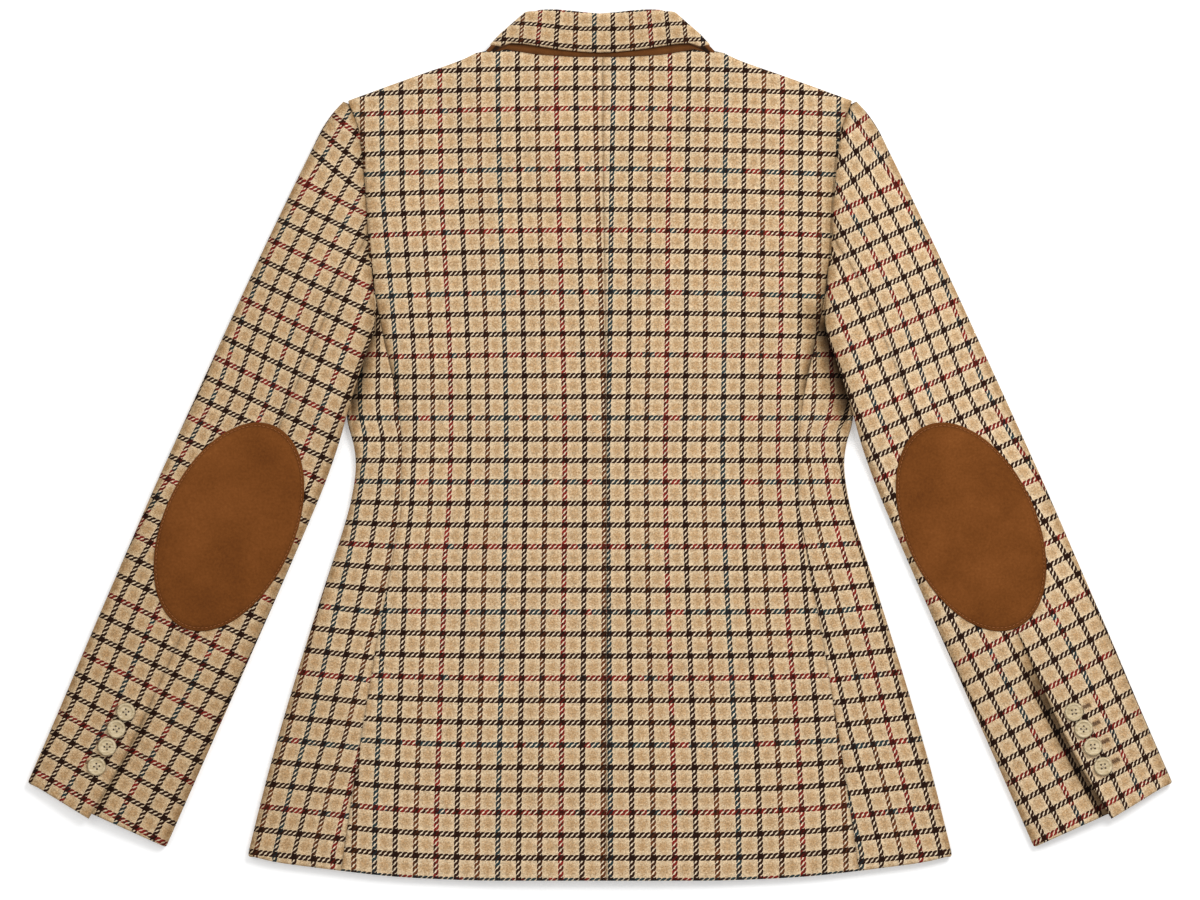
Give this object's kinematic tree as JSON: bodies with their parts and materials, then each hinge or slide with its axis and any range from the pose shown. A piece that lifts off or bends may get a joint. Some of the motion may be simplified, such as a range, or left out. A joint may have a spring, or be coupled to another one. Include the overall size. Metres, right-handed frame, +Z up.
{
  "type": "checked blazer",
  "caption": "Checked tweed blazer laid flat with its back up, with a turned collar over a felt under collar, suede elbow patches and buttoned cuffs.",
  "frame": {"origin": "middle of the laid blazer's box on the surface it lies on", "axes": "+Z up away from the surface, +Y from the hem to the collar, -X to the wearer's left, which lies on the left seen from above"},
  "size_m": [0.9148, 0.6954, 0.0163],
  "materials": {
    "tweed": "woven wool twill in cream and tan with dark check lines",
    "felt": "brown wool felt",
    "suede": "brown suede with a short nap",
    "button": "beige horn look, satin"
  },
  "bodies": {
    "root": {"back_left": "tweed", "side_left": "tweed", "front_left": "tweed", "lapel_left": "tweed", "top_sleeve_left": "tweed", "under_sleeve_left": "tweed", "elbow_patch_left": "suede", "sleeve_button_left_1": "button", "sleeve_button_left_2": "button", "sleeve_button_left_3": "button", "sleeve_button_left_4": "button", "back_right": "tweed", "side_right": "tweed", "front_right": "tweed", "lapel_right": "tweed", "top_sleeve_right": "tweed", "under_sleeve_right": "tweed", "elbow_patch_right": "suede", "sleeve_button_right_1": "button", "sleeve_button_right_2": "button", "sleeve_button_right_3": "button", "sleeve_button_right_4": "button", "collar": "tweed", "under_collar": "felt", "front_button_1": "button", "front_button_2": "button"}
  },
  "joints": []
}
